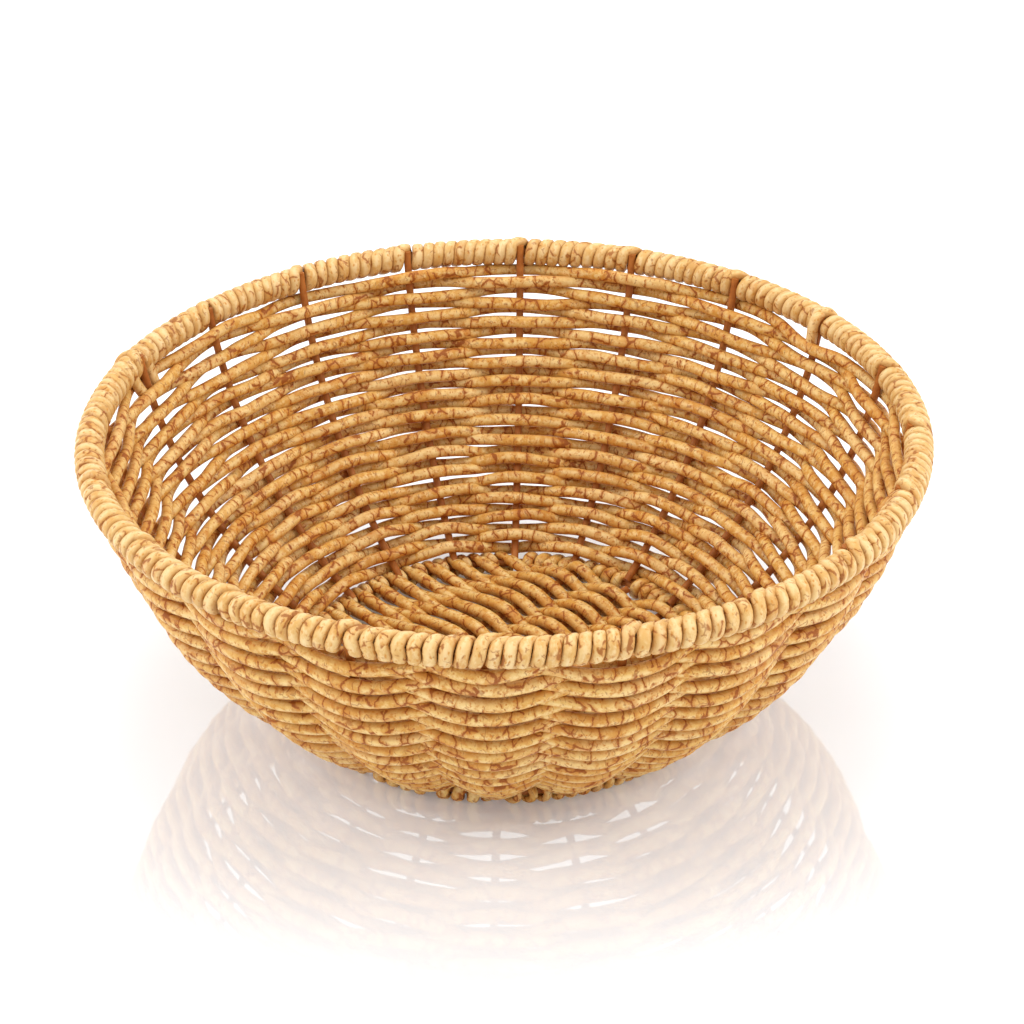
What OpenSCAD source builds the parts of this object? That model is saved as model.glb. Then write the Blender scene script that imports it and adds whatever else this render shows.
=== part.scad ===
// Round bread basket: a brown wire frame of two rings and upright stakes, woven with round cane.
// Millimetres, +Z up. The origin is the centre of the foot, on the surface that the basket stands on.

/* [Bowl] */
// Outer diameter over the wrapped rim
rim_d = 230; // [215:1:245]
// Height from the foot to the top of the rim
basket_h = 85.3; // [80:0.1:92]
// Diameter of the base ring, to the centre of its wire
base_ring_d = 117; // [115:1:122]
// How far the wall bows out from a straight line
wall_bow = 9.5; // [5:0.5:13]

/* [Wire frame] */
// Number of upright stakes, an even number
stake_count = 20; // [18:2:22]
// Diameter of a stake and of a base cross wire
stake_d = 2.2; // [1.6:0.1:2.2]
// How far a stake stands up past the middle of the rim wire
stake_rise = 2.8; // [0:0.1:3]
// Diameter of the rim wire and of the base ring wire
ring_wire_d = 2.4; // [2:0.1:2.6]
// Direction of the first stake, seen from above
first_stake_angle = 87.2; // [0:0.1:360]
// Number of cross wires in the base
cross_wire_count = 4; // [3:1:5]
// Distance between cross wires
cross_wire_pitch = 16.8; // [15:0.1:18]
// How far the cross wires lie off the middle of this hand-made base
cross_wire_shift = 4.6; // [0:0.1:6]

/* [Cane] */
// Diameter of the woven cane
cane_d = 2.85; // [2.4:0.05:2.9]
// Number of woven rows in the wall
row_count = 29; // [20:1:29]
// Thickness of the rim ring over its wrapping
rim_wrap_d = 8.2; // [7.5:0.1:8.6]
// Thickness of the base ring over its wrapping
base_wrap_d = 7.2; // [6.8:0.1:7.6]
// Opening left in both wrappings at each stake
wrap_opening = 2.8; // [2.6:0.1:3.4]
// Number of strands in the base
strand_count = 33; // [25:2:33]
// Distance between base strands
strand_pitch = 3.15; // [3:0.05:3.15]
// Direction of the base strands, seen from above
strand_angle = -45; // [-90:1:90]

/* [Hidden] */
$fn = 48;
cane_sides = 6;
clearance = 0.15;
bore_play = 0.05;
foot_flat = 0.1;

cane_r = cane_d / 2;
stake_r = stake_d / 2;
ring_wire_r = ring_wire_d / 2;
rim_wrap_r = rim_wrap_d / 2;
base_wrap_r = base_wrap_d / 2;

// Ring centres in the radial plane, as [radius, height]
rim_at = [rim_d / 2 - rim_wrap_r, basket_h - rim_wrap_r];
base_at = [base_ring_d / 2, base_wrap_r - foot_flat];

// The stakes run inside both rings, just clear of their wires
stake_offset = stake_r + ring_wire_r + clearance;
stake_top = rim_at + stake_offset * [-1, 0.1];
stake_foot = base_at + stake_offset * [-cos(50), sin(50)];

// The wall is one arc in the radial plane, from stake_top to stake_foot
wall_chord = norm(stake_top - stake_foot);
wall_r = (pow(wall_chord / 2, 2) + pow(wall_bow, 2)) / (2 * wall_bow);
chord_dir = (stake_top - stake_foot) / wall_chord;
wall_out = [chord_dir.y, -chord_dir.x];
wall_centre = (stake_top + stake_foot) / 2 + (wall_bow - wall_r) * wall_out;
top_angle = atan2(stake_top.y - wall_centre.y, stake_top.x - wall_centre.x);
foot_angle = atan2(stake_foot.y - wall_centre.y, stake_foot.x - wall_centre.x);
wall_length = wall_r * (top_angle - foot_angle) * PI / 180;
tip_angle = top_angle + stake_rise / wall_r * 180 / PI;

// Rows fill the wall between the two wrappings
first_row = sqrt(pow(rim_wrap_r + cane_r + clearance, 2) - pow(stake_offset, 2)) + clearance;
last_row = wall_length - sqrt(pow(base_wrap_r + cane_r + clearance, 2) - pow(stake_offset, 2));
row_pitch = (last_row - first_row) / (row_count - 1);
weave = stake_r + cane_r + clearance;

// Base weave
base_z = base_at.y + 0.9;
base_inner_r = base_at.x - base_wrap_r - 2 * clearance;
strand_weave = weave + 0.3;

stake_names = [for (i = [1:stake_count]) str("stake_", i)];
row_names = [for (i = [1:row_count]) str("weaver_row_", i)];

wire_colour = "#8E5535";
cane_colour = "#D6A566";
rim_cane_colour = "#E6C98F";

function stake_angle(i) = first_stake_angle - i * 360 / stake_count;

function wall_angle(s) = top_angle - s / wall_r * 180 / PI;

// Point on the wall, s along it from the top and out from it, at a direction round the bowl
function wall_point(s, out, az) =
    let (a = wall_angle(s))
    let (r = wall_centre.x + (wall_r + out) * cos(a))
    [r * cos(az), r * sin(az), wall_centre.y + (wall_r + out) * sin(a)];

// One ring of a cane's section, in the radial plane
function wall_section(s, out, az) = [
    for (k = [0:cane_sides - 1])
        let (t = 90 + k * 360 / cane_sides)
        wall_point(s + cane_r * sin(t), out + cane_r * cos(t), az)
];

// Triangles that join ring i to ring j of a tube
function band(i, j) = [
    for (k = [0:cane_sides - 1], half = [0, 1])
        let (n = (k + 1) % cane_sides)
        half == 0
            ? [i * cane_sides + k, j * cane_sides + n, i * cane_sides + n]
            : [i * cane_sides + k, j * cane_sides + k, j * cane_sides + n]
];

function flatten(lists) = [for (a = lists, b = a) b];

// Place of cross wire i along the strands, counted from 0
function wire_at(i) = cross_wire_shift + (i - (cross_wire_count - 1) / 2) * cross_wire_pitch;

// Wave of a base strand: +1 over one cross wire, -1 under the next, level past the outer ones
function strand_wave(u) =
    let (t = max(-1, min(cross_wire_count, (u - wire_at(0)) / cross_wire_pitch)))
    let (k = floor(t))
    (k % 2 == 0 ? 1 : -1) * (1 - 2 * (t - k));

// Half length of a straight piece that lies off centre inside the base ring
function half_span(offset, r) = sqrt(pow(base_inner_r - clearance, 2) - pow(abs(offset) + r, 2));

// One closed round of cane, outside the first stake when side is 1
module woven_row(index) {
    s = first_row + (index - 1) * row_pitch;
    side = index % 2 == 1 ? 1 : -1;
    rings = 2 * stake_count;
    points = flatten([
        for (i = [0:rings - 1])
            let (out = i % 2 == 1 ? 0 : (i % 4 == 0 ? side : -side) * weave)
            wall_section(s, out, stake_angle(i / 2))
    ]);
    faces = flatten([for (i = [0:rings - 1]) band(i, (i + 1) % rings)]);
    color(cane_colour) polyhedron(points, faces);
}

// One upright wire, from beside the rim wire to beside the base ring wire
module stake(index) {
    color(wire_colour)
        rotate(stake_angle(index - 1))
            translate([wall_centre.x, 0, wall_centre.y])
                rotate([90, 0, 0])
                    rotate_extrude(angle = tip_angle - foot_angle, start = foot_angle, $fn = 180)
                        translate([wall_r, 0])
                            circle(r = stake_r, $fn = 24);
}

module ring_wire(at) {
    color(wire_colour)
        rotate_extrude($fn = 180)
            translate(at)
                circle(r = ring_wire_r);
}

// Cane wound round a ring wire, as one sleeve between each two stakes
module ring_wrap(at, wrap_r, flat) {
    opening_angle = wrap_opening / at.x * 180 / PI;
    for (i = [0:stake_count - 1])
        rotate(stake_angle(i) + opening_angle / 2)
            rotate_extrude(angle = 360 / stake_count - opening_angle, $fn = 180)
                translate(at)
                    difference() {
                        circle(r = wrap_r);
                        circle(r = ring_wire_r + bore_play);
                        translate([-wrap_r, -2 * wrap_r + flat])
                            square([2 * wrap_r, wrap_r]);
                    }
}

module rim_wire() {
    ring_wire(rim_at);
}

module base_ring_wire() {
    ring_wire(base_at);
}

module rim_wrap() {
    color(rim_cane_colour) ring_wrap(rim_at, rim_wrap_r, 0);
}

module base_ring_wrap() {
    color(cane_colour) ring_wrap(base_at, base_wrap_r, foot_flat);
}

module base_cross_wires() {
    color(wire_colour)
        for (i = [0:cross_wire_count - 1]) {
            half = half_span(wire_at(i), stake_r);
            rotate(strand_angle)
                translate([wire_at(i), half, base_z])
                    rotate([90, 0, 0])
                        cylinder(r = stake_r, h = 2 * half, $fn = 24);
        }
}

// One straight strand of the base, over and under the cross wires
module base_strand(offset, side) {
    half = half_span(offset, cane_r);
    bends = [for (i = [-1:cross_wire_count]) if (abs(wire_at(i)) < half - clearance) wire_at(i)];
    stops = concat([-half], bends, [half]);
    points = flatten([
        for (u = stops)
            [for (k = [0:cane_sides - 1])
                let (t = k * 360 / cane_sides)
                [u, offset + cane_r * cos(t), base_z + side * strand_weave * strand_wave(u) + cane_r * sin(t)]]
    ]);
    first_cap = [for (k = [0:cane_sides - 1]) k];
    last_cap = [for (k = [0:cane_sides - 1]) len(points) - 1 - k];
    sides = flatten([for (i = [0:len(stops) - 2]) band(i, i + 1)]);
    polyhedron(points, concat([first_cap], [last_cap], sides));
}

module base_strands() {
    color(cane_colour)
        rotate(strand_angle)
            for (i = [0:strand_count - 1])
                base_strand((i - (strand_count - 1) / 2) * strand_pitch, i % 2 == 0 ? 1 : -1);
}

rim_wire();
rim_wrap();
base_ring_wire();
base_ring_wrap();
base_cross_wires();
base_strands();
for (i = [1:stake_count]) {
    stake(i);
}
for (i = [1:row_count]) {
    woven_row(i);
}
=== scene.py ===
import math

import bpy
from mathutils import Matrix, Vector


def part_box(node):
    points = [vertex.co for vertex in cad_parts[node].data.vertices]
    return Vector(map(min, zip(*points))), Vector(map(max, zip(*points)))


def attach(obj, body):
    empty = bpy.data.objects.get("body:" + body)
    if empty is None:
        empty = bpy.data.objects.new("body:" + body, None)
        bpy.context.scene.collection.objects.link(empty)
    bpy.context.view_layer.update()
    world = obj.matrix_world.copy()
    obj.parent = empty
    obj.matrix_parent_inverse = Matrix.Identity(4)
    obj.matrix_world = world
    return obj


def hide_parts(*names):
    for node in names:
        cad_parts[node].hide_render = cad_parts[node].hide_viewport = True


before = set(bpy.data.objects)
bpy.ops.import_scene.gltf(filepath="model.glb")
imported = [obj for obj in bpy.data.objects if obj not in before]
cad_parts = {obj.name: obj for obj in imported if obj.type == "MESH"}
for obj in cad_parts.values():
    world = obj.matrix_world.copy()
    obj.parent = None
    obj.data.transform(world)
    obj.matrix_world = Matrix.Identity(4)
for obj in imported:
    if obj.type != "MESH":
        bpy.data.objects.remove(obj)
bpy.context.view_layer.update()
print("frame loaded:", len(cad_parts), "nodes")

mm = 0.001


def plug(tree, value, socket):
    if isinstance(value, Num):
        tree.links.new(value.socket, socket)
    elif isinstance(value, bpy.types.NodeSocket):
        tree.links.new(value, socket)
    elif value is not None:
        socket.default_value = value


def addNode(tree, kind, values=None, **settings):
    node = tree.nodes.new(kind)
    for key, value in settings.items():
        setattr(node, key, value)
    for key, value in (values or {}).items():
        plug(tree, value, node.inputs[key])
    return node


class Num:  # a number inside a node tree, so that a formula reads like one
    def __init__(self, tree, socket):
        self.tree = tree
        self.socket = socket

    def math(self, operation, *others):
        node = self.tree.nodes.new("ShaderNodeMath")
        node.operation = operation
        for socket, value in zip(node.inputs, (self, *others)):
            plug(self.tree, value, socket)
        return Num(self.tree, node.outputs[0])

    def __add__(self, other):
        return self.math("ADD", other)

    def __sub__(self, other):
        return self.math("SUBTRACT", other)

    def __mul__(self, other):
        return self.math("MULTIPLY", other)

    def __truediv__(self, other):
        return self.math("DIVIDE", other)

    def __rsub__(self, other):
        return self * -1.0 + other

    __radd__ = __add__
    __rmul__ = __mul__

    def cos(self):
        return self.math("COSINE")

    def sin(self):
        return self.math("SINE")

    def size(self):
        return self.math("ABSOLUTE")

    def ramp(self, low, high):  # 0 below low, 1 above high, smooth between
        values = {0: self, 1: low, 2: high, 3: 0.0, 4: 1.0}
        node = addNode(self.tree, "ShaderNodeMapRange", values, interpolation_type="SMOOTHSTEP")
        return Num(self.tree, node.outputs[0])


def combine(tree, x, y, z):
    return addNode(tree, "ShaderNodeCombineXYZ", {0: x, 1: y, 2: z}).outputs[0]


def split(tree, vector):
    node = addNode(tree, "ShaderNodeSeparateXYZ", {0: vector})
    return [Num(tree, socket) for socket in node.outputs]


def vectorMath(tree, operation, first, second):
    return addNode(tree, "ShaderNodeVectorMath", {0: first, 1: second}, operation=operation).outputs[0]


def dot(tree, first, second):
    node = addNode(tree, "ShaderNodeVectorMath", {0: first, 1: second}, operation="DOT_PRODUCT")
    return Num(tree, node.outputs["Value"])


def stretch(tree, vector, factor):
    return addNode(tree, "ShaderNodeVectorMath", {0: vector, 3: factor}, operation="SCALE").outputs[0]


def noise(tree, where, scale, detail=2.0, rough=0.5):
    values = {"Vector": where, "Scale": scale, "Detail": detail, "Roughness": rough}
    return Num(tree, addNode(tree, "ShaderNodeTexNoise", values).outputs[0])


def sway(tree, where, scale, amount):  # strays to both sides of zero
    return (noise(tree, where, scale, 1.0) - 0.5) * 2.0 * amount


def toneOf(tree, where, scale):  # 0 for a pale stretch of cane to 1 for a deep one
    return noise(tree, where, scale, 1.0).ramp(0.25, 0.75)


def startTree(name, inputs):
    tree = bpy.data.node_groups.new(name, "GeometryNodeTree")
    tree.interface.new_socket("Geometry", in_out="OUTPUT", socket_type="NodeSocketGeometry")
    kinds = {"Path": "NodeSocketGeometry", "Material": "NodeSocketMaterial", "Points": "NodeSocketInt"}
    for label in inputs:
        tree.interface.new_socket(label, in_out="INPUT", socket_type=kinds.get(label, "NodeSocketFloat"))
    groupIn = tree.nodes.new("NodeGroupInput")
    return tree, {label: Num(tree, groupIn.outputs[label]) for label in inputs}


def pointIndex(tree):
    return Num(tree, tree.nodes.new("GeometryNodeInputIndex").outputs[0])


def store(tree, geometry, name, value, kind="FLOAT"):
    values = {"Geometry": geometry, "Name": name}
    node = addNode(tree, "GeometryNodeStoreNamedAttribute", values, data_type=kind, domain="POINT")
    plug(tree, value, node.inputs["Value"])
    return node.outputs[0]


def stored(tree, name, kind="FLOAT"):
    socket = addNode(tree, "GeometryNodeInputNamedAttribute", {"Name": name}, data_type=kind).outputs[0]
    return Num(tree, socket) if kind == "FLOAT" else socket


def place(tree, geometry, spot):
    return addNode(tree, "GeometryNodeSetPosition", {"Geometry": geometry, "Position": spot}).outputs[0]


def lengthAlong(tree):
    return Num(tree, tree.nodes.new("GeometryNodeSplineParameter").outputs["Length"])


def smoothCurve(tree, path, steps):  # a smooth curve through the points of a path
    curve = addNode(tree, "GeometryNodeMeshToCurve", {"Mesh": path}).outputs[0]
    rounded = addNode(tree, "GeometryNodeCurveSplineType", {"Curve": curve}, spline_type="CATMULL_ROM")
    values = {"Geometry": rounded.outputs[0], "Resolution": steps}
    return addNode(tree, "GeometryNodeSetSplineResolution", values).outputs[0]


# sweeps a cane along a curve that carries "outward", "broad", "flare" and "swell"
def sweepCane(tree, curve, given, sides):
    turn = pointIndex(tree) * (math.tau / sides)
    corner = given["Squareness"].math("POWER", -1.0) * 2.0
    x, y = turn.cos(), turn.sin()
    x = x.math("SIGN") * x.size().math("POWER", corner) * given["Thick"]
    y = y.math("SIGN") * y.size().math("POWER", corner) * given["Wide"]
    values = {"Resolution": sides, "Radius": 1.0}
    oval = addNode(tree, "GeometryNodeCurvePrimitiveCircle", values).outputs[0]
    oval = place(tree, oval, combine(tree, x, y, 0.0))
    position = tree.nodes.new("GeometryNodeInputPosition").outputs[0]
    oval = store(tree, oval, "section", position, "FLOAT_VECTOR")
    curve = store(tree, curve, "spine", position, "FLOAT_VECTOR")
    values = {"Curve": curve, "Normal": stored(tree, "outward", "FLOAT_VECTOR")}
    curve = addNode(tree, "GeometryNodeSetCurveNormal", values, mode="FREE").outputs[0]
    values = {"Curve": curve, "Profile Curve": oval, "Scale": stored(tree, "swell"), "Fill Caps": True}
    tube = addNode(tree, "GeometryNodeCurveToMesh", values).outputs[0]
    # the cane is pressed broader where it rides over a wire
    fromSpine = vectorMath(tree, "SUBTRACT", position, stored(tree, "spine", "FLOAT_VECTOR"))
    broad = stored(tree, "broad", "FLOAT_VECTOR")
    push = stretch(tree, broad, dot(tree, fromSpine, broad) * stored(tree, "flare"))
    tube = addNode(tree, "GeometryNodeSetPosition", {"Geometry": tube, "Offset": push}).outputs[0]
    for name in ("outward", "broad", "flare", "swell", "spine", "slim", "lane"):
        tube = addNode(tree, "GeometryNodeRemoveAttribute", {"Geometry": tube, "Name": name}).outputs[0]
    whole = tree.nodes.new("GeometryNodeRealizeInstances")
    plug(tree, tube, whole.inputs[0])
    values = {"Geometry": whole.outputs[0], "Material": given["Material"]}
    dressed = addNode(tree, "GeometryNodeSetMaterial", values).outputs[0]
    plug(tree, dressed, tree.nodes.new("NodeGroupOutput").inputs[0])


# runs a tree with its values and keeps the result as a plain mesh, its faces outwards
def growPiece(name, tree, values, start=None):
    piece = bpy.data.objects.new(name, start or bpy.data.meshes.new(name))
    bpy.context.collection.objects.link(piece)
    modifier = piece.modifiers.new("grow", "NODES")
    modifier.node_group = tree
    for item in tree.interface.items_tree:
        if item.in_out == "INPUT" and item.name in values:
            modifier[item.identifier] = values[item.name]
    grown = piece.evaluated_get(bpy.context.evaluated_depsgraph_get())
    mesh = bpy.data.meshes.new_from_object(grown)
    mesh.name = name
    bpy.data.objects.remove(piece)
    mesh.shade_smooth()
    mesh.calc_loop_triangles()
    volume = 0.0
    for face in mesh.loop_triangles:
        a, b, c = (mesh.vertices[i].co for i in face.vertices)
        volume += a.dot(b.cross(c))
    if volume < 0.0:
        mesh.flip_normals()
    piece = bpy.data.objects.new(name, mesh)
    bpy.context.collection.objects.link(piece)
    return piece


def stitch(piece, slot, *nodes):
    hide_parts(*nodes)
    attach(piece, "root")


# burnt cane: mottled honey ground, brown scorch lines across it and specks, with a painted highlight along
# the crown and painted shade on the edges
def caneMaterial(name, look):
    material = bpy.data.materials.new(name)
    material.use_nodes = True
    tree = material.node_tree
    shader = tree.nodes["Principled BSDF"]

    def attribute(label, output):
        return addNode(tree, "ShaderNodeAttribute", attribute_name=label).outputs[output]

    def mix(fac, first, second):
        node = addNode(tree, "ShaderNodeMix", data_type="RGBA")
        plug(tree, fac, node.inputs[0])
        plug(tree, first, node.inputs[6])
        plug(tree, second, node.inputs[7])
        return node.outputs[2]

    def edgeOfCells(where, scale):  # distance from the lines between drawn-out cells
        leaning = scale * look["veinLean"]
        cells = vectorMath(tree, "MULTIPLY", where, (scale, leaning, leaning))
        values = {"Vector": cells, "Scale": 1.0}
        node = addNode(tree, "ShaderNodeTexVoronoi", values, feature="DISTANCE_TO_EDGE")
        return Num(tree, node.outputs["Distance"])

    def bend(where, scale, amount):  # moves the pattern about, so that no line stays straight
        values = {"Vector": straight, "Scale": scale, "Detail": 2.0}
        drift = addNode(tree, "ShaderNodeTexNoise", values).outputs[1]
        drift = vectorMath(tree, "SUBTRACT", drift, (0.5, 0.5, 0.5))
        return vectorMath(tree, "ADD", where, stretch(tree, drift, amount))

    def patches(where, scale, start, soft, detail=1.0, rough=0.5):  # 1 inside a patch, 0 outside
        return noise(tree, where, scale, detail, rough).ramp(start, start + soft)

    along = Num(tree, attribute("along", "Fac")) / mm
    tone = Num(tree, attribute("tone", "Fac"))
    across, side = split(tree, stretch(tree, attribute("section", "Vector"), 1.0 / mm))[:2]
    straight = combine(tree, along, across, side)  # the cane unrolled, in millimetres
    bent = bend(straight, look["wanderScale"], look["wander"])
    bent = bend(bent, look["trembleScale"], look["tremble"])

    cloud = noise(tree, bent, look["cloudScale"], 4.0, 0.62)
    blotch = patches(bent, look["blotchScale"], look["blotchFrom"], look["blotchSoft"], 3.0, 0.6)
    # scorch lines, each with a paler burn around it
    edge = edgeOfCells(bent, look["veinScale"])
    shown = patches(straight, look["veinPatches"], look["veinFrom"], look["veinSoft"])
    vein = (1.0 - edge.ramp(look["veinWidth"] * look["veinCore"], look["veinWidth"])) * shown
    halo = (1.0 - edge.ramp(0.0, look["veinWidth"] * look["haloReach"])) * shown
    # a second, finer net of lines
    fineEdge = edgeOfCells(bent, look["veinScale"] * look["fineness"])
    fineShown = patches(straight, look["finePatches"], look["fineFrom"], look["fineSoft"])
    fine = (1.0 - fineEdge.ramp(look["fineCore"], look["fineWidth"])) * fineShown
    # specks, in some cells only
    values = {"Vector": bent, "Scale": look["speckScale"]}
    cell = addNode(tree, "ShaderNodeTexVoronoi", values, feature="F1")
    pick = Num(tree, addNode(tree, "ShaderNodeSeparateColor", {0: cell.outputs["Color"]}).outputs[0])
    speck = 1.0 - Num(tree, cell.outputs["Distance"]).ramp(0.1, look["speckSize"])
    speck = speck * pick.ramp(look["speckFrom"], look["speckFrom"] + look["speckSoft"])
    # painted highlight: the crown of the cane is painted paler where the ground is light, and painted shade
    # darkens its edges, where it meets the next row or turn
    paintedCrownHighlight = (1.0 - side.size().ramp(0.1, 1.0)) * (1.0 - cloud.ramp(0.45, 0.6))
    # painted shade: the cane's edges, where it meets the next row or turn, are painted darker
    paintedEdgeShade = side.size().ramp(look["paintedShadeFrom"], look["paintedShadeTo"]) * (cloud * 0.8 + 0.3)
    fibres = combine(tree, along * look["grainPull"], across, side)
    grain = noise(tree, fibres, look["grainScale"], 3.0, 0.6)

    colour = mix(cloud.ramp(0.34, 0.66), look["light"], look["honey"])
    colour = mix(grain.ramp(0.4, 0.8) * look["grainShare"], colour, look["honey"])
    colour = mix(tone.ramp(0.5, 1.0) * look["deepShare"], colour, look["deep"])
    colour = mix((1.0 - tone).ramp(0.5, 1.0) * look["paleShare"], colour, look["pale"])
    # painted highlight along each cane's crown
    colour = mix(paintedCrownHighlight * look["paintedCrownHighlightShare"], colour, look["pale"])
    colour = mix(blotch * look["blotchShare"], colour, look["orange"])
    colour = mix(halo * look["haloShare"], colour, look["orange"])
    colour = mix(speck * look["speckShare"], colour, look["orange"])
    colour = mix(fine * look["fineShare"], colour, look["brown"])
    # painted shade on the cane's edges
    colour = mix(paintedEdgeShade * look["paintedShadeShare"], colour, look["deep"])
    colour = mix(vein * look["veinShare"], colour, look["brown"])
    plug(tree, colour, shader.inputs["Base Color"])
    plug(tree, cloud * 0.16 + vein * 0.15 + (look["rough"] - 0.08), shader.inputs["Roughness"])
    height = grain * 0.3 + cloud * 0.7 - vein * 0.4
    values = {"Strength": look["bump"], "Distance": look["relief"], "Height": height}
    plug(tree, addNode(tree, "ShaderNodeBump", values).outputs[0], shader.inputs["Normal"])
    shader.inputs["Specular IOR Level"].default_value = look["shine"]
    return material


# scales are per millimetre of cane
wallCaneLook = {
    "light": (0.71, 0.468, 0.152, 1.0),
    "honey": (0.59, 0.293, 0.055, 1.0),
    "pale": (0.78, 0.575, 0.275, 1.0),
    "deep": (0.46, 0.160, 0.020, 1.0),
    "orange": (0.48, 0.160, 0.014, 1.0),
    "brown": (0.25, 0.055, 0.004, 1.0),
    "wander": 1.2,
    "wanderScale": 0.6,
    "tremble": 0.45,
    "trembleScale": 2.2,
    "cloudScale": 0.45,
    "blotchScale": 0.75,
    "blotchFrom": 0.54,         # a mark shows where its noise is above its "From"
    "blotchSoft": 0.12,
    "blotchShare": 0.6,         # and covers this share of the colour beneath
    "veinScale": 0.2,
    "veinLean": 0.55,           # the cells are drawn out across the cane
    "veinWidth": 0.042,
    "veinCore": 0.35,           # share of the width that is fully dark
    "veinPatches": 0.32,
    "veinFrom": 0.44,
    "veinSoft": 0.08,
    "veinShare": 0.85,
    "haloReach": 4.0,           # times the line's own width
    "haloShare": 0.75,
    "fineness": 2.3,            # how much closer the fine lines lie
    "fineCore": 0.0168,
    "fineWidth": 0.0756,
    "finePatches": 0.54,
    "fineFrom": 0.5,
    "fineSoft": 0.1,
    "fineShare": 0.6,
    "speckScale": 0.95,
    "speckSize": 0.42,
    "speckFrom": 0.5,
    "speckSoft": 0.12,
    "speckShare": 0.9,
    # painted shade on the cane's edges: where it starts and where it is full, in mm across the cane, and its
    # share
    "paintedShadeFrom": 0.95,
    "paintedShadeTo": 1.75,
    "paintedShadeShare": 0.65,
    "deepShare": 0.3,
    "paleShare": 0.4,
    # share of the painted highlight along the crown
    "paintedCrownHighlightShare": 0.5,
    "grainScale": 2.6,
    "grainPull": 0.12,          # the grain is drawn out along the cane
    "grainShare": 0.3,
    "rough": 0.46,
    "shine": 0.25,
    "bump": 0.7,
    "relief": 0.12 * mm,
}

rimCaneLook = {
    **wallCaneLook,
    "light": (0.70, 0.475, 0.200, 1.0),
    "honey": (0.60, 0.345, 0.105, 1.0),
    "pale": (0.76, 0.565, 0.300, 1.0),
    "deep": (0.42, 0.165, 0.030, 1.0),
    "orange": (0.52, 0.215, 0.032, 1.0),
    "brown": (0.25, 0.062, 0.006, 1.0),
    "veinFrom": 0.51,
    "veinShare": 0.75,
    "haloShare": 0.6,
    "blotchFrom": 0.57,
    "blotchShare": 0.45,
    "fineFrom": 0.56,
    "rough": 0.42,
}


def wireMaterial(look):
    material = bpy.data.materials.new("coatedWire")
    material.use_nodes = True
    tree = material.node_tree
    shader = tree.nodes["Principled BSDF"]
    where = addNode(tree, "ShaderNodeTexCoord").outputs["Object"]
    patch = noise(tree, where, look["patchScale"], 3.0, 0.6)
    colour = addNode(tree, "ShaderNodeMix", data_type="RGBA")
    plug(tree, patch.ramp(look["patchFrom"], look["patchTo"]), colour.inputs[0])
    plug(tree, look["light"], colour.inputs[6])
    plug(tree, look["dark"], colour.inputs[7])
    plug(tree, colour.outputs[2], shader.inputs["Base Color"])
    plug(tree, patch * look["roughRange"] + look["rough"], shader.inputs["Roughness"])
    values = {"Strength": look["bump"], "Distance": look["relief"], "Height": patch}
    plug(tree, addNode(tree, "ShaderNodeBump", values).outputs[0], shader.inputs["Normal"])
    shader.inputs["Specular IOR Level"].default_value = look["shine"]
    return material


wireLook = {
    "light": (0.42, 0.145, 0.028, 1.0),
    "dark": (0.30, 0.085, 0.014, 1.0),
    "patchScale": 260.0,
    "patchFrom": 0.35,
    "patchTo": 0.7,
    "rough": 0.4,
    "roughRange": 0.2,
    "shine": 0.2,
    "bump": 0.4,
    "relief": 0.06 * mm,
}

wallCane = caneMaterial("wallCane", wallCaneLook)
rimCane = caneMaterial("rimCane", rimCaneLook)
wireCoat = wireMaterial(wireLook)
print("materials made")

# the bowl's wires and wall curve, the same as in the CAD model
bowl = {
    "stakes": 20,
    "firstStake": math.radians(87.2),   # the others follow clockwise, seen from above
    "stakeRadius": 1.1 * mm,
    "ringWire": 1.2 * mm,
    "caneRadius": 1.425 * mm,
    "gap": 0.15 * mm,
    "bow": 9.5 * mm,            # how far the wall's curve stands out from its chord
    "footLean": math.radians(50.0),
    "rows": 29,
    "rimWrapRadius": 4.1 * mm,
    "baseWrapRadius": 3.6 * mm,
}


def ringCentre(node):
    low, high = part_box(node)
    return Vector(((high.x - low.x) / 2.0 - bowl["ringWire"], (high.z + low.z) / 2.0))


rimAt = ringCentre("rim_wire")
baseAt = ringCentre("base_ring_wire")
stakeOff = bowl["stakeRadius"] + bowl["ringWire"] + bowl["gap"]
wallTop = rimAt + stakeOff * Vector((-1.0, 0.1))
wallFoot = baseAt + stakeOff * Vector((-math.cos(bowl["footLean"]), math.sin(bowl["footLean"])))
chord = wallTop - wallFoot
wallRadius = ((chord.length / 2.0) ** 2 + bowl["bow"] ** 2) / (2.0 * bowl["bow"])
chordWay = chord.normalized()
wallCentre = (wallTop + wallFoot) / 2.0 + (bowl["bow"] - wallRadius) * Vector((chordWay.y, -chordWay.x))
topAngle = math.atan2(wallTop.y - wallCentre.y, wallTop.x - wallCentre.x)
footAngle = math.atan2(wallFoot.y - wallCentre.y, wallFoot.x - wallCentre.x)
wallLength = wallRadius * (topAngle - footAngle)
rimClear = bowl["rimWrapRadius"] + bowl["caneRadius"] + bowl["gap"]
footClear = bowl["baseWrapRadius"] + bowl["caneRadius"] + bowl["gap"]
firstRow = math.sqrt(rimClear ** 2 - stakeOff ** 2) + bowl["gap"]
lastRow = wallLength - math.sqrt(footClear ** 2 - stakeOff ** 2)
rowPitch = (lastRow - firstRow) / (bowl["rows"] - 1)
weave = bowl["stakeRadius"] + bowl["caneRadius"] + bowl["gap"]


def stakeTurn(i):
    return bowl["firstStake"] - i * math.tau / bowl["stakes"]


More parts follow.
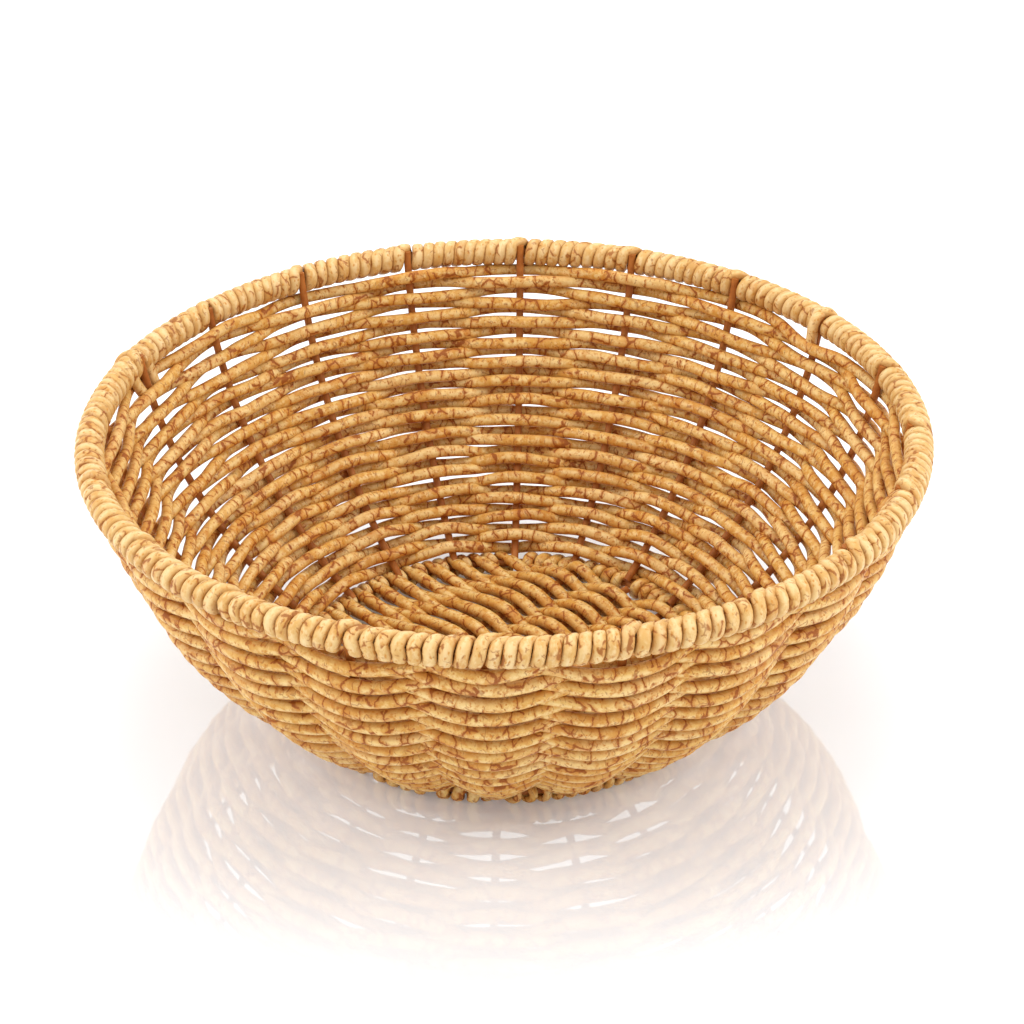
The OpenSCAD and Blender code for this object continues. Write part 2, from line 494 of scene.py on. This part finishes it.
rowCane = {
    "points": 320,
    "sides": 12,
    "thick": 1.5 * mm,
    "wide": 1.68 * mm,
    "squareness": 2.3,
    "flare": 0.25,              # how much broader the cane is over a stake, outside
    "innerFlare": 0.08,         # and inside
    "crown": 0.35 * mm,         # how far it stands out more on the outside
    "sag": 0.75 * mm,           # how far it hangs down there on the front half, which scallops the wall
    "lift": 0.68 * mm,          # and how far it rides up on the back half
    "topRise": 1.0 * mm,        # the first row is pulled up under the rim inside
    "topSags": [1.5 * mm, 1.1 * mm],    # the first rows hang clear of the rim on the front half
    "hemFrom": 26,
    "hemSag": 1.1 * mm,         # the lowest rows hang lower and hide the base ring
    "rowSway": 0.7 * mm,        # how far neighbouring rows stray together, up and down
    "rowSwayTurns": 3.2,        # how quickly that changes round the bowl
    "rowSwayStep": 0.22,        # and from row to row
    "caneSway": 1.45 * mm,      # how far each row strays by itself
    "caneSwayTurns": 4.2,
    "caneSwayStep": 3.1,
    "pull": 0.4 * mm,           # how far it strays in and out
    "pullScale": 1.3,
    "swell": 0.09,              # how much its thickness changes
    "swellScale": 2.6,
    "toneScale": 0.7,
    "grainStep": 0.83,          # metres of cane between one row's pattern and the next
    "seamStep": 6,              # each row's ends meet this many stakes further on
    "dipStake": 3,              # the first row sags away from the rim here
    "dipSpread": math.radians(9.5),
    "dips": [3.1 * mm, 1.2 * mm, 0.4 * mm],
}


def rowTree():
    labels = ["Row", "Side", "Start", "Down", "Wave", "Crown",
              "Wall radius", "Centre radius", "Centre height", "Top angle", "First stake", "Stakes",
              "Row sway", "Cane sway", "Pull", "Swell", "Flare", "Inner flare",
              "Sag", "Lift", "Rise", "Dip", "Dip turn", "Dip spread",
              "Thick", "Wide", "Squareness", "Points", "Material"]
    tree, given = startTree("wovenRow", labels)
    share = pointIndex(tree) / (given["Points"] - 1.0) + given["Start"] / given["Stakes"]
    turn = given["First stake"] - share * math.tau
    beat = (share * given["Stakes"] * math.pi).cos() * given["Side"]  # 1 outside a stake, -1 inside
    outer = beat.math("MAXIMUM", 0.0)
    wave = beat * given["Wave"] + outer * given["Crown"]
    x, y = turn.cos(), turn.sin()
    # how far down the wall: the row's own place, its strayings, the dip and the scallops
    turns = rowCane["rowSwayTurns"]
    together = combine(tree, x * turns, y * turns, given["Row"] * rowCane["rowSwayStep"])
    turns = rowCane["caneSwayTurns"]
    alone = combine(tree, x * turns, y * turns, given["Row"] * rowCane["caneSwayStep"] + 20.0)
    down = given["Down"] + sway(tree, together, 1.0, given["Row sway"])
    down = down + sway(tree, alone, 1.0, given["Cane sway"])
    fromDip = (turn - given["Dip turn"]).sin().size() / given["Dip spread"]
    ahead = (turn - given["Dip turn"]).cos().math("GREATER_THAN", 0.0)
    down = down + (1.0 - fromDip.ramp(0.0, 1.0)) * given["Dip"] * ahead
    front = (y * -1.0).math("MAXIMUM", 0.0)
    down = down + outer * (front * given["Sag"] - y.math("MAXIMUM", 0.0) * given["Lift"])
    down = down - (outer - beat) * given["Rise"]
    # a point on the wall's curve, moved out and in by the wave
    out = wave + sway(tree, alone, rowCane["pullScale"], given["Pull"])
    angle = given["Top angle"] - down / given["Wall radius"]
    reach = given["Wall radius"] + out
    radius = given["Centre radius"] + reach * angle.cos()
    height = given["Centre height"] + reach * angle.sin()
    line = addNode(tree, "GeometryNodeMeshLine", {"Count": given["Points"]}, mode="OFFSET").outputs[0]
    line = place(tree, line, combine(tree, radius * x, radius * y, height))
    outward = combine(tree, angle.cos() * x, angle.cos() * y, angle.sin())
    upward = combine(tree, angle.sin() * x * -1.0, angle.sin() * y * -1.0, angle.cos())
    line = store(tree, line, "outward", outward, "FLOAT_VECTOR")
    line = store(tree, line, "broad", upward, "FLOAT_VECTOR")
    outerFlare = given["Flare"] * (1.0 - y) * 0.5  # fades from the front to the back
    flare = (outer - beat) * given["Inner flare"] + outer * outerFlare
    line = store(tree, line, "flare", flare)
    swell = 1.0 + sway(tree, alone, rowCane["swellScale"], given["Swell"])
    line = store(tree, line, "swell", swell)
    line = store(tree, line, "tone", toneOf(tree, alone, rowCane["toneScale"]))
    line = addNode(tree, "GeometryNodeMeshToCurve", {"Mesh": line}).outputs[0]
    line = store(tree, line, "along", lengthAlong(tree) + given["Row"] * rowCane["grainStep"])
    sweepCane(tree, line, given, rowCane["sides"])
    return tree


def rowSag(i):
    if i < len(rowCane["topSags"]):
        return rowCane["topSags"][i]
    return rowCane["hemSag"] if i >= rowCane["hemFrom"] else rowCane["sag"]


def makeRows():
    tree = rowTree()
    for i in range(bowl["rows"]):
        outside = i % 2 == 0
        values = {
            "Row": float(i + 1),
            "Side": 1.0 if outside else -1.0,
            "Start": float(i * rowCane["seamStep"] % bowl["stakes"] + (0 if outside else 1)),
            "Down": firstRow + i * rowPitch,
            "Wave": weave,
            "Crown": rowCane["crown"],
            "Wall radius": wallRadius,
            "Centre radius": wallCentre.x,
            "Centre height": wallCentre.y,
            "Top angle": topAngle,
            "First stake": bowl["firstStake"],
            "Stakes": float(bowl["stakes"]),
            "Row sway": rowCane["rowSway"],
            "Cane sway": rowCane["caneSway"],
            "Pull": rowCane["pull"],
            "Swell": rowCane["swell"],
            "Flare": rowCane["flare"],
            "Inner flare": rowCane["innerFlare"],
            "Sag": rowSag(i),
            "Lift": 0.0 if i == 0 else rowCane["lift"],
            "Rise": rowCane["topRise"] if i == 0 else 0.0,
            "Dip": rowCane["dips"][i] if i < len(rowCane["dips"]) else 0.0,
            "Dip turn": stakeTurn(rowCane["dipStake"]),
            "Dip spread": rowCane["dipSpread"],
            "Thick": rowCane["thick"],
            "Wide": rowCane["wide"],
            "Squareness": rowCane["squareness"],
            "Points": rowCane["points"] + 1,
            "Material": wallCane,
        }
        row = growPiece("wovenRow%02d" % (i + 1), tree, values)
        stitch(row, "cane", "weaver_row_%d" % (i + 1))


makeRows()
print("wall rows woven")

rimCoil = {
    "turnsOdd": 9,
    "turnsEven": 10,
    "opening": 2.7 * mm,
    "fullPitch": 3.4 * mm,      # the cane is at its full thickness here
    "steps": 20,
    "thick": 1.42 * mm,
    "wide": 1.74 * mm,
    "squareness": 2.8,
    "jitter": 0.3 * mm,         # how far a turn strays along the ring
    "jitterScale": 0.45,
    "slack": 0.05,              # how unevenly tight the turns lie
    "slackScale": 0.7,
    "swell": 0.07,
    "swellScale": 1.3,
    "toneScale": 0.5,
    "sides": 10,
    "startStake": 16,
    "evening": 0.95,            # how far the turns close up on the outer side
    "arch": 0.85 * mm,          # how high a turn arches over a stake's end
    "archSpan": 0.19,           # and for what share of a turn to each side
    "looseStake": 10.4,         # where the turns stay apart on the under side
    "looseness": 0.9,
    "keepFrom": 0.0,
    "seed": 3.0,
}

baseCoil = {
    **rimCoil,
    "turnsOdd": 4,
    "turnsEven": 4,
    "opening": 3.4 * mm,
    "steps": 18,
    "thick": 1.12 * mm,
    "wide": 1.6 * mm,
    "squareness": 2.3,
    "jitter": 0.4 * mm,
    "evening": 0.4,
    "arch": 0.0,
    "looseness": 0.0,
    "keepFrom": 43.0 * mm,      # wound only where the base strands run along the ring
    "seed": 11.0,
}

baseHeading = math.radians(-45.0)  # the way the base strands run


# a cane wound round a ring; each group of turns starts at the ring's top, just past a stake
def coilTree(name, coil):
    labels = ["Ring radius", "Ring height", "Coil radius", "Opening", "Start angle",
              "Turns odd", "Turns even", "Stakes", "Jitter", "Evening", "Arch",
              "Loose angle", "Looseness", "Keep from", "Keep angle",
              "Thick", "Wide", "Squareness", "Seed", "Points", "Material"]
    tree, given = startTree(name, labels)
    turn = pointIndex(tree) / coil["steps"]  # counts the turns from the start stake
    pairTurns = given["Turns odd"] + given["Turns even"]
    seed = given["Seed"]
    crossAt = -0.06  # the first turn of a group crosses its stake a little inside the top
    outerAt = 0.25   # and passes the outer side a quarter turn after the top

    def ringTurn(turn):  # the place on the ring, the turns' pitch and the turns since the last stake
        pair = (turn / pairTurns + 0.00001).math("FLOOR")
        rest = turn - pair * pairTurns
        second = (rest + 0.0001).math("GREATER_THAN", given["Turns odd"])
        turns = given["Turns odd"] + second * (given["Turns even"] - given["Turns odd"])
        local = rest - second * given["Turns odd"]
        arc = given["Ring radius"] * math.tau / given["Stakes"]
        pitch = (arc - given["Opening"]) / turns
        lean = sway(tree, combine(tree, turn * coil["jitterScale"], seed, 0.0), 1.0, given["Jitter"])
        distance = (pair * 2.0 + second) * arc + pitch * (local - outerAt) + lean
        shift = local.ramp(0.0, 0.3) - 0.5  # half the opening lies on each side of the stake
        # the turns close up again over the top and the outer side, apart from one loose stretch
        onRing = given["Start angle"] - (pair * 2.0 + second) * arc / given["Ring radius"]
        loose = (onRing - given["Loose angle"]).cos().ramp(0.9, 0.99) * given["Looseness"] * lowerSide
        even = pitch * (outerAt - crossAt) + given["Opening"] * ((local - crossAt) / turns - shift)
        distance = distance + given["Opening"] * shift + even * outerSide * (1.0 - loose)
        late = (local / turns).math("GREATER_THAN", 0.5)
        return given["Start angle"] - distance / given["Ring radius"], pitch, local - late * turns

    coilTurn = math.pi / 2.0 - turn * math.tau
    outerSide = (coilTurn - 0.35).cos().ramp(-0.2, 0.5) * given["Evening"]  # from the top round the outside
    lowerSide = 1.0 - coilTurn.sin().ramp(-0.3, 0.7)
    roundTurn, pitch, fromStake = ringTurn(turn)
    arch = (1.0 - (fromStake - crossAt).size().ramp(0.02, coil["archSpan"])) * given["Arch"]
    slack = sway(tree, combine(tree, turn * coil["slackScale"], seed, 5.0), 1.0, coil["slack"])
    bulge = given["Coil radius"] * (1.0 + slack) + arch
    reach = given["Ring radius"] + bulge * coilTurn.cos()
    height = given["Ring height"] + bulge * coilTurn.sin()
    x, y = roundTurn.cos(), roundTurn.sin()
    line = addNode(tree, "GeometryNodeMeshLine", {"Count": given["Points"]}, mode="OFFSET").outputs[0]
    line = place(tree, line, combine(tree, reach * x, reach * y, height))
    outward = combine(tree, coilTurn.cos() * x, coilTurn.cos() * y, coilTurn.sin())
    line = store(tree, line, "outward", outward, "FLOAT_VECTOR")
    line = store(tree, line, "broad", combine(tree, y, x * -1.0, 0.0), "FLOAT_VECTOR")
    line = store(tree, line, "flare", 0.0)
    fatness = pitch / coil["fullPitch"] * 0.5 + 0.5  # crowded turns are thinner
    uneven = sway(tree, combine(tree, turn * coil["swellScale"], seed, 2.0), 1.0, coil["swell"])
    line = store(tree, line, "swell", fatness * (1.0 + uneven))
    tone = toneOf(tree, combine(tree, turn * coil["toneScale"], seed, 9.0), 1.0)
    line = store(tree, line, "tone", tone)
    # whole turns are left out where the base strands cover the ring
    middle = ringTurn((turn + 0.5).math("FLOOR"))[0]
    sideways = (middle - given["Keep angle"]).cos().size() * given["Ring radius"]
    drop = sideways.math("LESS_THAN", given["Keep from"])
    values = {"Geometry": line, "Selection": drop}
    line = addNode(tree, "GeometryNodeDeleteGeometry", values, domain="POINT").outputs[0]
    line = addNode(tree, "GeometryNodeMeshToCurve", {"Mesh": line}).outputs[0]
    line = store(tree, line, "along", lengthAlong(tree) + seed)
    sweepCane(tree, line, given, coil["sides"])
    return tree


def makeCoil(name, coil, ringAt, material):
    turns = bowl["stakes"] // 2 * (coil["turnsOdd"] + coil["turnsEven"])
    values = {
        "Ring radius": ringAt.x,
        "Ring height": ringAt.y,
        "Coil radius": bowl["ringWire"] + coil["thick"],
        "Opening": coil["opening"],
        "Start angle": stakeTurn(coil["startStake"]),
        "Turns odd": float(coil["turnsOdd"]),
        "Turns even": float(coil["turnsEven"]),
        "Stakes": float(bowl["stakes"]),
        "Jitter": coil["jitter"],
        "Evening": coil["evening"],
        "Arch": coil["arch"],
        "Loose angle": stakeTurn(coil["looseStake"]),
        "Looseness": coil["looseness"],
        "Keep from": coil["keepFrom"],
        "Keep angle": baseHeading + math.pi / 2.0,
        "Thick": coil["thick"],
        "Wide": coil["wide"],
        "Squareness": coil["squareness"],
        "Seed": coil["seed"],
        "Points": turns * coil["steps"] + 1,
        "Material": material,
    }
    return growPiece(name, coilTree(name + "Tree", coil), values)


stitch(makeCoil("rimWinding", rimCoil, rimAt, rimCane), "rim_cane", "rim_wrap")
stitch(makeCoil("baseWinding", baseCoil, baseAt, wallCane), "cane", "base_ring_wrap")


# chains of edges; each point carries its tone, its slimness and its chain's number
def pathMesh(name, paths):
    points, edges, lanes = [], [], []
    for lane, path in enumerate(paths):
        edges += [(len(points) + k, len(points) + k + 1) for k in range(len(path) - 1)]
        points += path
        lanes += [float(lane)] * len(path)
    mesh = bpy.data.meshes.new(name)
    mesh.from_pydata([point[:3] for point in points], edges, [])
    carried = {"tone": [point[3] for point in points], "slim": [point[4] for point in points], "lane": lanes}
    for label, values in carried.items():
        mesh.attributes.new(label, "FLOAT", "POINT").data.foreach_set("value", values)
    return mesh


# loose ends of the rim winding: the stake, how far inside the stake the end lies, and its way as
# (degrees round the ring, mm past the stake, mm down the wall)
rimTails = {
    "ends": [
        (16, 0.0, [(-35, -3.4, 0), (5, -2.2, 0), (40, -1.0, 0), (75, 0.2, 0), (110, 1.4, 0), (145, 2.5, 0),
                   (172, 3.2, 0), (180, 3.6, 3.6), (180, 3.9, 6.4), (180, 4.1, 9.4)]),
        (16, 0.0, [(150, -7.4, 0), (185, -6.6, 0), (180, -5.2, 4.2), (180, -3.7, 7.0), (180, -2.4, 9.8)]),
        (3, 2.2 * mm, [(20, -1.6, 0), (60, -1.4, 0), (100, -1.0, 0), (140, -0.6, 0), (172, -0.3, 0),
                       (180, 0.0, 3.2), (180, 0.3, 5.2)]),
    ],
    "thick": 1.3 * mm,
    "wide": 1.8 * mm,
    "squareness": 2.4,
    "sides": 10,
    "over": 1.1 * mm,           # how far the end lies over the turns beneath it
    "overFrom": math.radians(20.0),     # most at this angle round the ring
    "tones": [0.3, 0.5, 0.35],
    "smoothness": 4,
    "grainStep": 0.21,
}


def tailPath(stake, inside, stations, tone):
    points, outwards, broads = [], [], []
    for degrees, past, drop in stations:
        a = math.radians(degrees)
        turn = stakeTurn(stake) - past * mm / rimAt.x
        if drop == 0:
            lift = rimTails["over"] * max(0.0, math.cos(a - rimTails["overFrom"]))
            lift += inside * max(0.0, -math.cos(a))
            coil = bowl["ringWire"] + rimTails["thick"] + lift
            reach, height = rimAt.x + coil * math.cos(a), rimAt.y + coil * math.sin(a)
            out, up = math.cos(a), math.sin(a)
        else:
            a = topAngle - drop * mm / wallRadius
            reach = wallCentre.x + (wallRadius - inside) * math.cos(a)
            height = wallCentre.y + (wallRadius - inside) * math.sin(a)
            out, up = -math.cos(a), -math.sin(a)
        x, y = math.cos(turn), math.sin(turn)
        points.append((reach * x, reach * y, height, tone, 1.0))
        outwards += [out * x, out * y, up]
        broads += [y, -x, 0.0]
    return points, outwards, broads


def tailTree():
    labels = ["Path", "Thick", "Wide", "Squareness", "Material"]
    tree, given = startTree("rimTail", labels)
    curve = smoothCurve(tree, given["Path"], rimTails["smoothness"])
    along = lengthAlong(tree) + stored(tree, "lane") * rimTails["grainStep"]
    curve = store(tree, curve, "along", along)
    curve = store(tree, curve, "swell", stored(tree, "slim"))
    curve = store(tree, curve, "flare", 0.0)
    sweepCane(tree, curve, given, rimTails["sides"])
    return tree


def makeTails():
    paths, outwards, broads = [], [], []
    for (stake, inside, stations), tone in zip(rimTails["ends"], rimTails["tones"]):
        path, outward, broad = tailPath(stake, inside, stations, tone)
        paths.append(path)
        outwards += outward
        broads += broad
    start = pathMesh("tailPaths", paths)
    start.attributes.new("outward", "FLOAT_VECTOR", "POINT").data.foreach_set("vector", outwards)
    start.attributes.new("broad", "FLOAT_VECTOR", "POINT").data.foreach_set("vector", broads)
    values = {
        "Thick": rimTails["thick"],
        "Wide": rimTails["wide"],
        "Squareness": rimTails["squareness"],
        "Material": rimCane,
    }
    stitch(growPiece("rimTails", tailTree(), values, start), "rim_cane", "rim_wrap")


makeTails()
print("rings wound")

baseCane = {
    "strands": 33,
    "pitch": 3.15 * mm,
    "wires": 4,
    "wirePitch": 16.8 * mm,
    "wireShift": 4.6 * mm,
    "thick": 1.48 * mm,
    "wide": 1.84 * mm,
    "squareness": 2.2,
    "hookSlim": 0.69,           # the strand is drawn thinner where it turns round the ring
    "flare": 0.1,
    "flareRise": 2.0 * mm,      # how far above the middle a strand has its full flare
    "swell": 0.08,
    "swellScale": 2.0,
    "sides": 10,
    "step": 1.4 * mm,
    "smoothness": 2,
    "wander": 0.5 * mm,
    "wanderScale": 55.0,
    "laneStep": 7.3,            # the strands wander apart
    "grainStep": 0.073,
    "tone": 0.5,
    "hookTone": 0.08,           # strands that come up from under the ring are paler
    "hookStep": 22,             # degrees between the points round the ring
    "endLevel": 0.4,            # how far a strand that stops early still rises or dips
    "hookLimit": 44.0 * mm,     # strands nearer the middle than this turn round the ring
    "tuck": 4.5 * mm,           # the others stop this far inside it
    "wireRoom": 6.0 * mm,       # a wire nearer the ring than this isn't woven over
    "wireGap": 0.1 * mm,
    "ringGap": 0.05 * mm,
    "aboveRing": 0.9 * mm,
}
baseHeight = baseAt.y + baseCane["aboveRing"]
baseWeave = bowl["stakeRadius"] + baseCane["thick"] + baseCane["wireGap"]


def wireAt(i):
    return baseCane["wireShift"] + (i - (baseCane["wires"] - 1) / 2.0) * baseCane["wirePitch"]


# one strand: points of (along, height, tone, slimness), from one side of the base ring to the other
def strandPath(offset, side):
    coil = bowl["ringWire"] + baseCane["thick"] * baseCane["hookSlim"] + baseCane["ringGap"]
    reach = math.sqrt(baseAt.x ** 2 - offset ** 2)
    slant = coil * baseAt.x / reach  # the ring is cut at an angle, so the hook is longer
    hooked = abs(offset) < baseCane["hookLimit"]
    wires = [i for i in range(baseCane["wires"]) if abs(wireAt(i)) < reach - baseCane["wireRoom"]]
    stops = [(wireAt(i), side * (1 if i % 2 == 0 else -1)) for i in wires]

    def ringEnd(way, level):  # from the last wire out to the ring and round it
        if not hooked:
            height = baseHeight + level * baseCane["endLevel"] * baseWeave
            return [(way * (reach - baseCane["tuck"]), height, baseCane["tone"], 1.0)]
        step = baseCane["hookStep"]
        turns = range(115, -151, -step) if level > 0 else range(-115, 181, step)  # over or under the ring
        hookTone = baseCane["tone"] if level > 0 else baseCane["hookTone"]
        points = []
        for degrees in turns:
            a = math.radians(degrees)
            tone = hookTone if -60 < degrees < 170 else baseCane["tone"]
            spot = (way * (reach + slant * math.cos(a)), baseAt.y + coil * math.sin(a))
            points.append((*spot, tone, baseCane["hookSlim"]))
        return points

    left = ringEnd(-1.0, -stops[0][1])
    right = ringEnd(1.0, -stops[-1][1])
    knots = [left[0][:2]] + [(u, baseHeight + level * baseWeave) for u, level in stops] + [right[0][:2]]
    path = list(reversed(left))
    for (u0, z0), (u1, z1) in zip(knots, knots[1:]):
        count = max(3, round((u1 - u0) / baseCane["step"]))
        for k in range(1, count):
            share = k / count
            z = z0 + (z1 - z0) * (0.5 - 0.5 * math.cos(math.pi * share))
            path.append((u0 + (u1 - u0) * share, z, baseCane["tone"], 1.0))
        path.append((u1, z1, baseCane["tone"], 1.0))
    return path[:-1] + right


def strandTree():
    labels = ["Path", "Thick", "Wide", "Squareness", "Wander", "Flare", "Middle height", "Material"]
    tree, given = startTree("baseStrand", labels)
    curve = smoothCurve(tree, given["Path"], baseCane["smoothness"])
    lane = stored(tree, "lane")
    x, z = split(tree, tree.nodes.new("GeometryNodeInputPosition").outputs[0])[::2]
    spot = combine(tree, x * baseCane["wanderScale"], lane * baseCane["laneStep"], 0.0)
    stray = combine(tree, 0.0, sway(tree, spot, 1.0, given["Wander"]), 0.0)
    curve = addNode(tree, "GeometryNodeSetPosition", {"Geometry": curve, "Offset": stray}).outputs[0]
    curve = store(tree, curve, "along", lengthAlong(tree) + lane * baseCane["grainStep"])
    uneven = sway(tree, spot, baseCane["swellScale"], baseCane["swell"])
    curve = store(tree, curve, "swell", stored(tree, "slim") * (1.0 + uneven))
    raised = (z - given["Middle height"]).math("MAXIMUM", 0.0) / baseCane["flareRise"]
    curve = store(tree, curve, "flare", raised * given["Flare"])
    curve = store(tree, curve, "broad", combine(tree, 0.0, 1.0, 0.0), "FLOAT_VECTOR")
    tangent = tree.nodes.new("GeometryNodeInputTangent").outputs[0]
    outward = vectorMath(tree, "CROSS_PRODUCT", tangent, (0.0, 1.0, 0.0))
    curve = store(tree, curve, "outward", outward, "FLOAT_VECTOR")
    sweepCane(tree, curve, given, baseCane["sides"])
    return tree


def makeStrands():
    paths = []
    for i in range(baseCane["strands"]):
        offset = (i - (baseCane["strands"] - 1) / 2.0) * baseCane["pitch"]
        path = strandPath(offset, 1 if i % 2 == 0 else -1)
        paths.append([(u, offset, z, tone, slim) for u, z, tone, slim in path])
    values = {
        "Thick": baseCane["thick"],
        "Wide": baseCane["wide"],
        "Squareness": baseCane["squareness"],
        "Wander": baseCane["wander"],
        "Flare": baseCane["flare"],
        "Middle height": baseHeight,
        "Material": wallCane,
    }
    strands = growPiece("baseStrands", strandTree(), values, pathMesh("strandPaths", paths))
    strands.data.transform(Matrix.Rotation(baseHeading, 4, "Z"))
    stitch(strands, "cane", "base_strands")


makeStrands()
print("base woven")

# the wire frame keeps its own shapes and gets its coating
wireNodes = ["rim_wire", "base_ring_wire", "base_cross_wires"]
wireNodes += ["stake_%d" % (i + 1) for i in range(bowl["stakes"])]
for nodeName in wireNodes:
    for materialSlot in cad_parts[nodeName].material_slots:
        materialSlot.material = wireCoat

studio = {
    "floorSize": 14.0,
    "floorTone": (0.87, 0.90, 0.935, 1.0),
    "floorRough": 0.8,
    "floorGlow": 0.135,         # lifts the shadow, as a lit table top does
    "mirror": 0.26,             # share of the floor's light that is mirrored
    "mirrorRough": 0.04,
    "mirrorFrom": 0.13,         # the mirror fades out between these distances
    "mirrorTo": 0.42,
    "skyTone": (1.0, 1.0, 1.0, 1.0),
    "skyStrength": 1.1,
    "lamps": [  # name, size, strength, place
        ("leftSoftbox", 0.7, 8.0, (-1.3, -0.1, 0.9)),
        ("rightSoftbox", 0.7, 8.0, (1.3, -0.1, 0.9)),
        ("topSoftbox", 0.9, 7.0, (0.0, 0.3, 1.5)),
    ],
    "lampAim": (0.0, 0.0, 0.04),
    "cameraElevation": math.radians(28.67),
    "cameraDistance": 0.80406,
    "lens": 104.96,
    "yaw": math.radians(-0.137),
    "pitch": math.radians(-1.607),
    "roll": math.radians(0.526),
}


def makeFloor():
    half = studio["floorSize"] / 2.0
    mesh = bpy.data.meshes.new("floor")
    corners = [(-half, -half, 0), (half, -half, 0), (half, half, 0), (-half, half, 0)]
    mesh.from_pydata(corners, [], [(0, 1, 2, 3)])
    floor = bpy.data.objects.new("floor", mesh)
    bpy.context.collection.objects.link(floor)
    material = bpy.data.materials.new("paleFloor")
    material.use_nodes = True
    tree = material.node_tree
    shader = tree.nodes["Principled BSDF"]
    shader.inputs["Base Color"].default_value = studio["floorTone"]
    shader.inputs["Roughness"].default_value = studio["floorRough"]
    shader.inputs["Emission Color"].default_value = (1.0, 1.0, 1.0, 1.0)
    shader.inputs["Emission Strength"].default_value = studio["floorGlow"]
    shader.inputs["Specular IOR Level"].default_value = 0.0
    where = addNode(tree, "ShaderNodeTexCoord").outputs["Object"]
    distance = addNode(tree, "ShaderNodeVectorMath", {0: where}, operation="LENGTH").outputs["Value"]
    fade = 1.0 - Num(tree, distance).ramp(studio["mirrorFrom"], studio["mirrorTo"])
    gloss = addNode(tree, "ShaderNodeBsdfGlossy", {"Roughness": studio["mirrorRough"]})
    values = {0: fade * studio["mirror"], 1: shader.outputs[0], 2: gloss.outputs[0]}
    blend = addNode(tree, "ShaderNodeMixShader", values)
    plug(tree, blend.outputs[0], tree.nodes["Material Output"].inputs["Surface"])
    mesh.materials.append(material)


def makeLight(name, size, watts, spot, aim):
    lamp = bpy.data.lights.new(name, "AREA")
    lamp.shape = "DISK"
    lamp.size = size
    lamp.energy = watts
    holder = bpy.data.objects.new(name, lamp)
    holder.location = spot
    holder.rotation_euler = (aim - spot).to_track_quat("-Z", "Y").to_euler()
    bpy.context.collection.objects.link(holder)


def makeStudio():
    makeFloor()
    world = bpy.data.worlds.new("studioWhite")
    world.use_nodes = True
    sky = world.node_tree.nodes["Background"]
    sky.inputs["Color"].default_value = studio["skyTone"]
    sky.inputs["Strength"].default_value = studio["skyStrength"]
    bpy.context.scene.world = world
    for name, size, watts, spot in studio["lamps"]:
        makeLight(name, size, watts, Vector(spot), Vector(studio["lampAim"]))
    bpy.context.scene.view_settings.view_transform = "Standard"


def makeCamera():
    data = bpy.data.cameras.new("camera")
    data.sensor_width = 36.0
    data.lens = studio["lens"]
    data.clip_start = 0.01
    holder = bpy.data.objects.new("camera", data)
    bpy.context.collection.objects.link(holder)
    tilt = studio["cameraElevation"]
    back = Vector((0.0, -math.cos(tilt), math.sin(tilt)))
    holder.location = Vector((0.0, 0.0, rimAt.y)) + back * studio["cameraDistance"]
    look = (-back).to_track_quat("-Z", "Y").to_matrix()
    look = look @ Matrix.Rotation(studio["yaw"], 3, "Y") @ Matrix.Rotation(studio["pitch"], 3, "X")
    holder.rotation_euler = (look @ Matrix.Rotation(-studio["roll"], 3, "Z")).to_euler()
    bpy.context.scene.camera = holder


makeStudio()
makeCamera()
print("studio ready")
